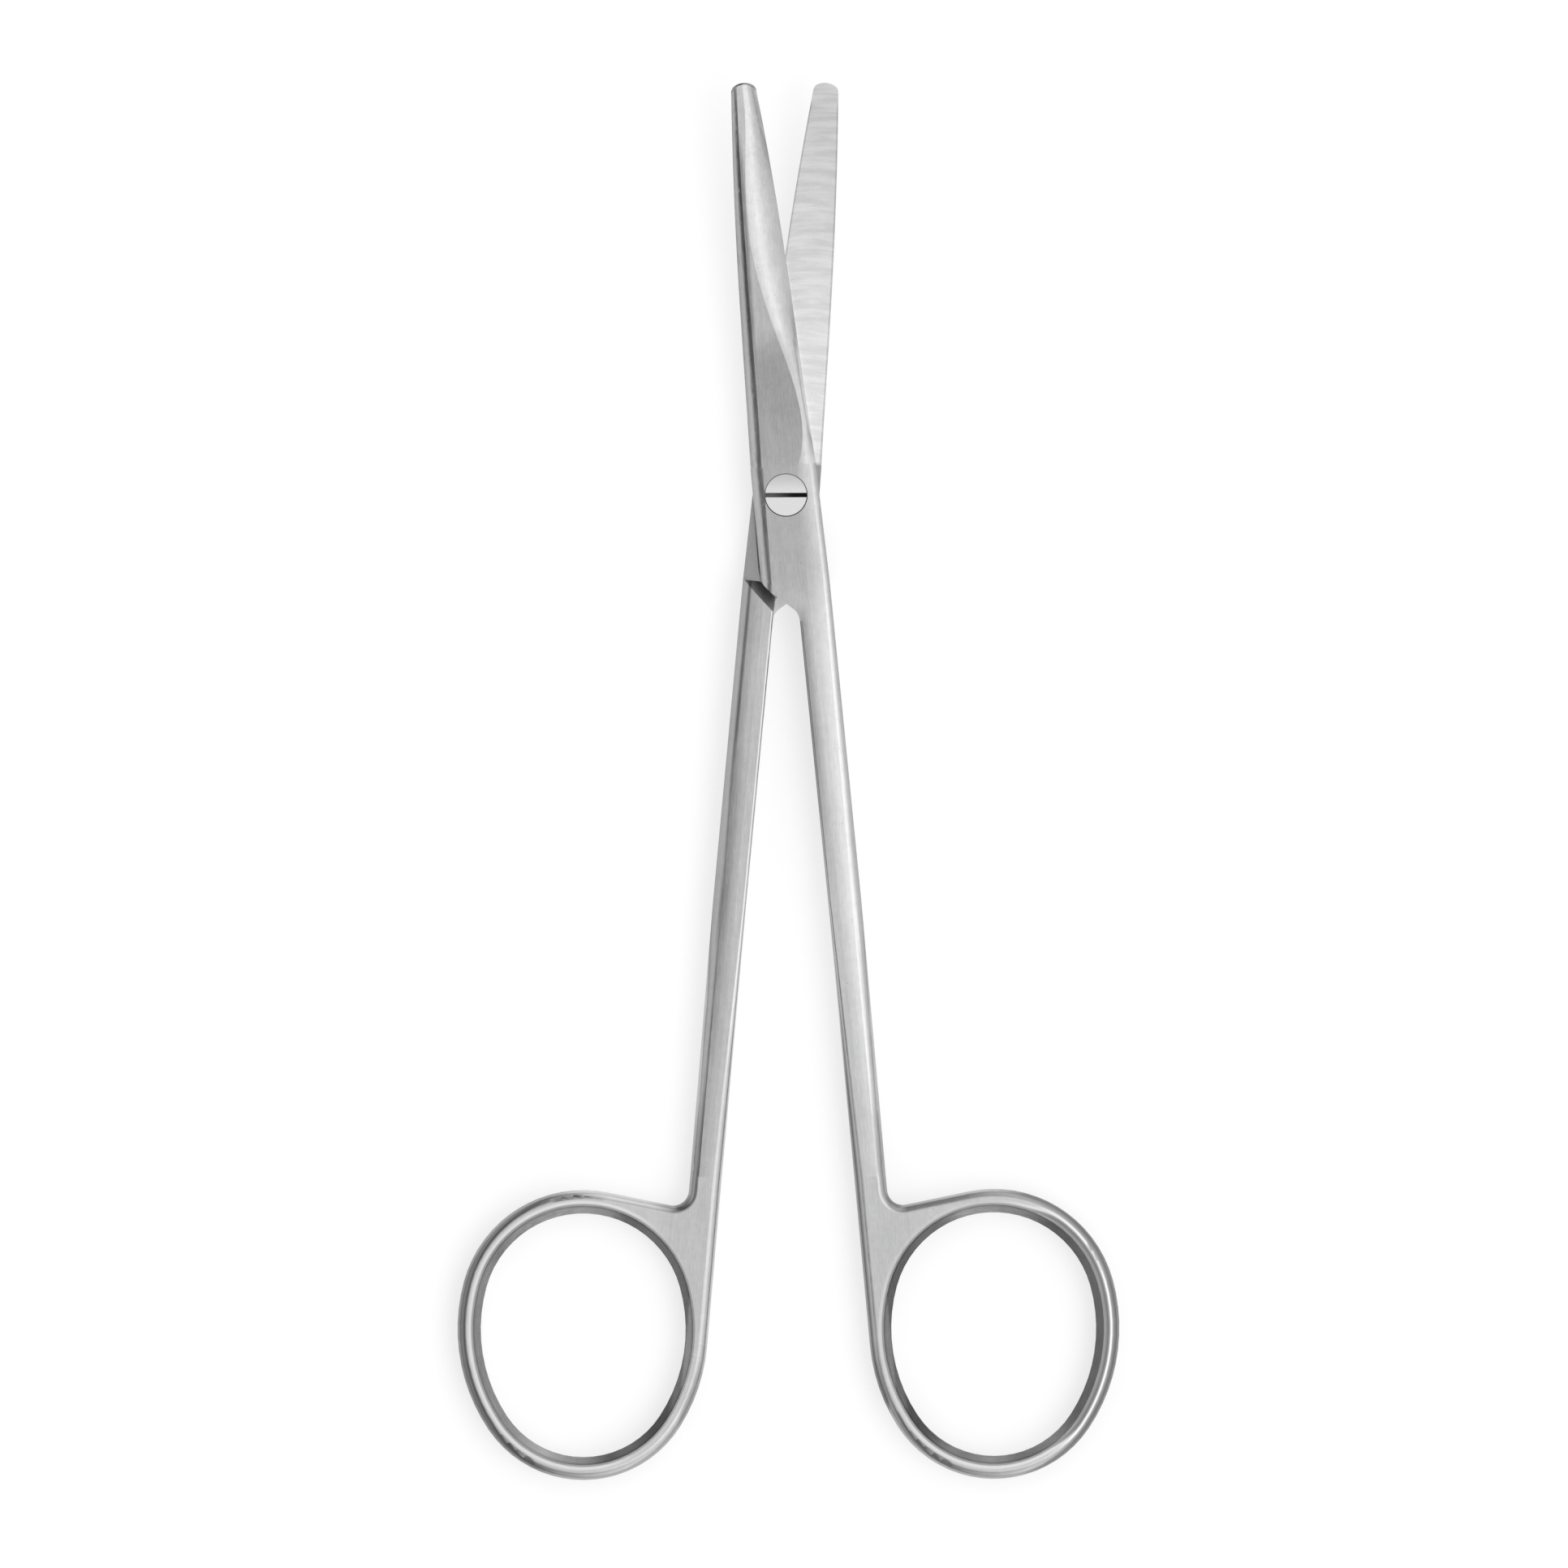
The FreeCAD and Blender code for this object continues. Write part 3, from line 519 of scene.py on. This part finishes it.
def screw_steel(name):
    """Polished screw with turning marks, with painted shade on its side towards the tips, in its slot
    and round its rim.
    """
    material, nodes, shader = new_steel(name)
    mm = MM_PER_METRE
    source = nodes.add("ShaderNodeTexCoord").outputs["Object"]
    here = Place(nodes, nodes.vector("MULTIPLY", source, (mm, mm, mm)))
    turned = nodes.joined(here.from_screw, 0.0, nodes.times(here.z, 0.4))
    fine = nodes.noise(turned, 7.0, detail=2.0, rough=0.6)
    patches = nodes.noise(here.point, 0.8, detail=2.0)
    below_face = (3.94, 3.86)
    rim = here.mask(from_screw=(2.09, 2.11), z=below_face)
    in_slot = nodes.within(nodes.math("ABSOLUTE", here.y), 0.26, 0.24)
    in_slot = nodes.times(in_slot, here.mask(z=below_face))
    level = nodes.spread(fine, 0.3, 0.7, 0.86, 0.94)
    # Painted shade: the head darker towards the tips, the rim darkest towards the rings and the slot
    # darkest towards +x
    level = nodes.times(level, nodes.step(here.y, 0.2, 2.1, 1.0, 0.76))
    level = nodes.blend(rim, level, nodes.step(here.y, -0.6, 1.4, 0.05, 0.40))
    level = nodes.blend(in_slot, level, nodes.step(here.x, -2.0, 1.0, 0.22, 0.02))
    rough = nodes.spread(patches, 0.3, 0.7, 0.14, 0.20)
    rough = nodes.blend(nodes.math("MAXIMUM", in_slot, rim), rough, 0.6)
    set_steel(nodes, shader, level, rough, nodes.bump(fine, TURNING_DEPTH))
    return material


def dress(node, material):
    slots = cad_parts[node].data.materials
    for i in range(len(slots)):
        slots[i] = material


# White floor that keeps the shadow

def make_floor():
    half = 6.0
    clearance = 0.00003
    grey = 0.36
    glow_level = 0.66
    level = cad_box[0].z - clearance
    mesh = bpy.data.meshes.new("floor")
    corners = [(-half, -half, level), (half, -half, level), (half, half, level), (-half, half, level)]
    mesh.from_pydata(corners, [], [(0, 1, 2, 3)])
    floor = bpy.data.objects.new("floor", mesh)
    scene.collection.objects.link(floor)
    material = bpy.data.materials.new("white_floor")
    material.use_nodes = True
    nodes = Nodes(material.node_tree)
    matt = nodes.add("ShaderNodeBsdfDiffuse")
    matt.inputs["Color"].default_value = (grey, grey, grey, 1.0)
    glow = nodes.add("ShaderNodeEmission")
    glow.inputs["Color"].default_value = (1.0, 1.0, 1.0, 1.0)
    path = nodes.add("ShaderNodeLightPath")
    seen = nodes.math("MAXIMUM", path.outputs["Is Camera Ray"], path.outputs["Is Glossy Ray"])
    seen = nodes.math("MAXIMUM", seen, path.outputs["Is Transmission Ray"])
    nodes.link(nodes.times(seen, glow_level), glow.inputs["Strength"])
    both = nodes.add("ShaderNodeAddShader")
    nodes.link(matt.outputs[0], both.inputs[0])
    nodes.link(glow.outputs[0], both.inputs[1])
    # Clear from below, so that the underside can be looked at
    sides = nodes.add("ShaderNodeMixShader")
    nodes.link(nodes.add("ShaderNodeNewGeometry").outputs["Backfacing"], sides.inputs[0])
    nodes.link(both.outputs[0], sides.inputs[1])
    nodes.link(nodes.add("ShaderNodeBsdfTransparent").outputs[0], sides.inputs[2])
    output = nodes.add("ShaderNodeOutputMaterial")
    nodes.link(sides.outputs[0], output.inputs["Surface"])
    mesh.materials.append(material)


# Soft studio surroundings. Across the object the light rises from a narrow dark screen on the
# left of overhead to a narrow bright panel on the right, with grey walls beyond both. Along the
# object it brightens away from overhead. Each pair is a lean from overhead and its level.

ACROSS = (
    (-1.00, 0.76), (-0.80, 0.76), (-0.62, 0.60), (-0.48, 0.32), (-0.37, 0.14), (-0.26, 0.26),
    (-0.14, 0.60), (0.00, 0.80), (0.15, 1.10), (0.28, 1.38), (0.42, 1.60), (0.56, 1.36),
    (0.75, 1.08), (1.00, 0.84),
)
ACROSS_WAY = (0.996, -0.087, 0.0)
ALONG_WAY = (0.087, 0.996, 0.0)


def make_world():
    world = bpy.data.worlds.new("studio")
    scene.world = world
    world.use_nodes = True
    nodes = Nodes(world.node_tree)
    place = nodes.add("ShaderNodeTexCoord")
    direction = nodes.vector("NORMALIZE", place.outputs["Generated"])
    height = nodes.parts(direction)[2]
    # The curve holds leans and levels as shares of its square from 0 to 1
    top_level = 2.0
    curve = nodes.add("ShaderNodeFloatCurve")
    points = curve.mapping.curves[0].points
    while len(points) < len(ACROSS):
        points.new(0.5, 0.5)
    for point, (lean, level) in zip(points, ACROSS):
        point.location = (lean / 2 + 0.5, level / top_level)
        point.handle_type = "AUTO_CLAMPED"
    curve.mapping.update()
    lean = nodes.vector("DOT_PRODUCT", direction, ACROSS_WAY)
    nodes.link(nodes.spread(lean, -1.0, 1.0, 0.0, 1.0), curve.inputs["Value"])
    level = nodes.times(curve.outputs[0], top_level)
    along = nodes.math("ABSOLUTE", nodes.vector("DOT_PRODUCT", direction, ALONG_WAY))
    level = nodes.plus(level, nodes.step(along, 0.60, 0.90, 0.0, 0.15))
    level = nodes.times(level, nodes.step(height, 0.0, 0.35, 0.55, 1.0))
    background = nodes.add("ShaderNodeBackground")
    nodes.link(nodes.joined(level, level, level), background.inputs["Color"])
    background.inputs["Strength"].default_value = 1.0
    output = nodes.add("ShaderNodeOutputWorld")
    nodes.link(background.outputs[0], output.inputs["Surface"])


def make_lamp(name, place, width, power):
    """Soft square lamp that points at the middle of the scissors."""
    aim = (0.0, -0.03, 0.0)
    light = bpy.data.lights.new(name, "AREA")
    light.shape = "SQUARE"
    light.size = width
    light.energy = power
    lamp = bpy.data.objects.new(name, light)
    scene.collection.objects.link(lamp)
    lamp.location = place
    turn = (Vector(aim) - Vector(place)).to_track_quat("-Z", "Y")
    lamp.rotation_euler = turn.to_euler()
    lamp.visible_camera = False
    lamp.visible_glossy = False


# Camera straight above, with the photograph's small turn

def make_camera():
    data = bpy.data.cameras.new("camera")
    camera = bpy.data.objects.new("camera", data)
    scene.collection.objects.link(camera)
    metres_per_pixel = MM_PER_PIXEL / MM_PER_METRE
    middle = PICTURE / 2
    centre_x = (middle - PIVOT_PIXEL[0]) * metres_per_pixel
    centre_y = (PIVOT_PIXEL[1] - middle) * metres_per_pixel
    width = PICTURE * metres_per_pixel
    distance = 3.0
    data.sensor_fit = "HORIZONTAL"
    data.sensor_width = 36.0
    data.lens = data.sensor_width * distance / width
    data.clip_start = 0.1
    data.clip_end = 50.0
    camera.location = (centre_x, centre_y, distance + JOINT_THICK / MM_PER_METRE)
    camera.rotation_euler = (0.0, 0.0, ROLL)
    scene.camera = camera


# The two halves share one steel but carry different painted light and shade
dress("upper_half", brushed_steel("satin_steel_near", -OPEN_HALF, flip=False, ring_top=0.50))
dress("lower_half", brushed_steel("satin_steel_far", OPEN_HALF, flip=True, ring_top=0.86))
dress("joint_screw", screw_steel("polished_steel_screw"))
make_floor()
make_world()
make_lamp("key", (0.55, -0.35, 1.1), 0.9, 2.6)
make_lamp("fill", (-0.6, 0.4, 1.0), 1.1, 2.0)
make_camera()
